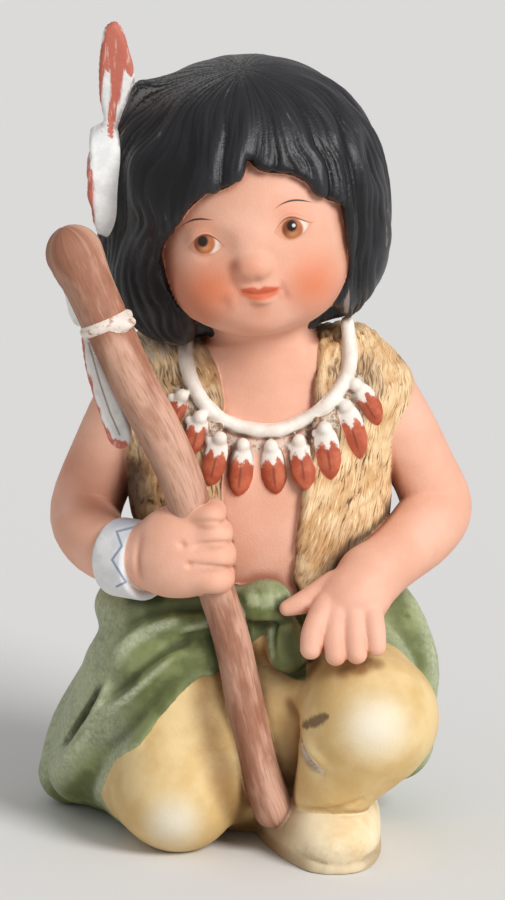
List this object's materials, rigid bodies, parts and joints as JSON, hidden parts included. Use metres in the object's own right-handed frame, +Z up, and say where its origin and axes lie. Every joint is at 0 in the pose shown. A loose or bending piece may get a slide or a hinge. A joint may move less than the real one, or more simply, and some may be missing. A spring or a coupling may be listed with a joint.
{
  "type": "kneeling child figurine",
  "caption": "Small hand-painted porcelain figurine of a kneeling child in a fur vest, necklace and green waist cloth, holding a tall staff, with a feather in the hair.",
  "frame": {"origin": "on the surface it stands on, under the middle of the figurine's bounding box", "axes": "+Z up; the figure faces -Y; +X is on the viewer's right, the side of the raised knee"},
  "size_m": [0.0668, 0.056, 0.127],
  "materials": {
    "painted_bisque": "matte unglazed (bisque) porcelain, hand painted in skin, black, ochre, green, cream and terracotta"
  },
  "bodies": {
    "root": {"kneeling_figurine": "painted_bisque"}
  },
  "joints": []
}
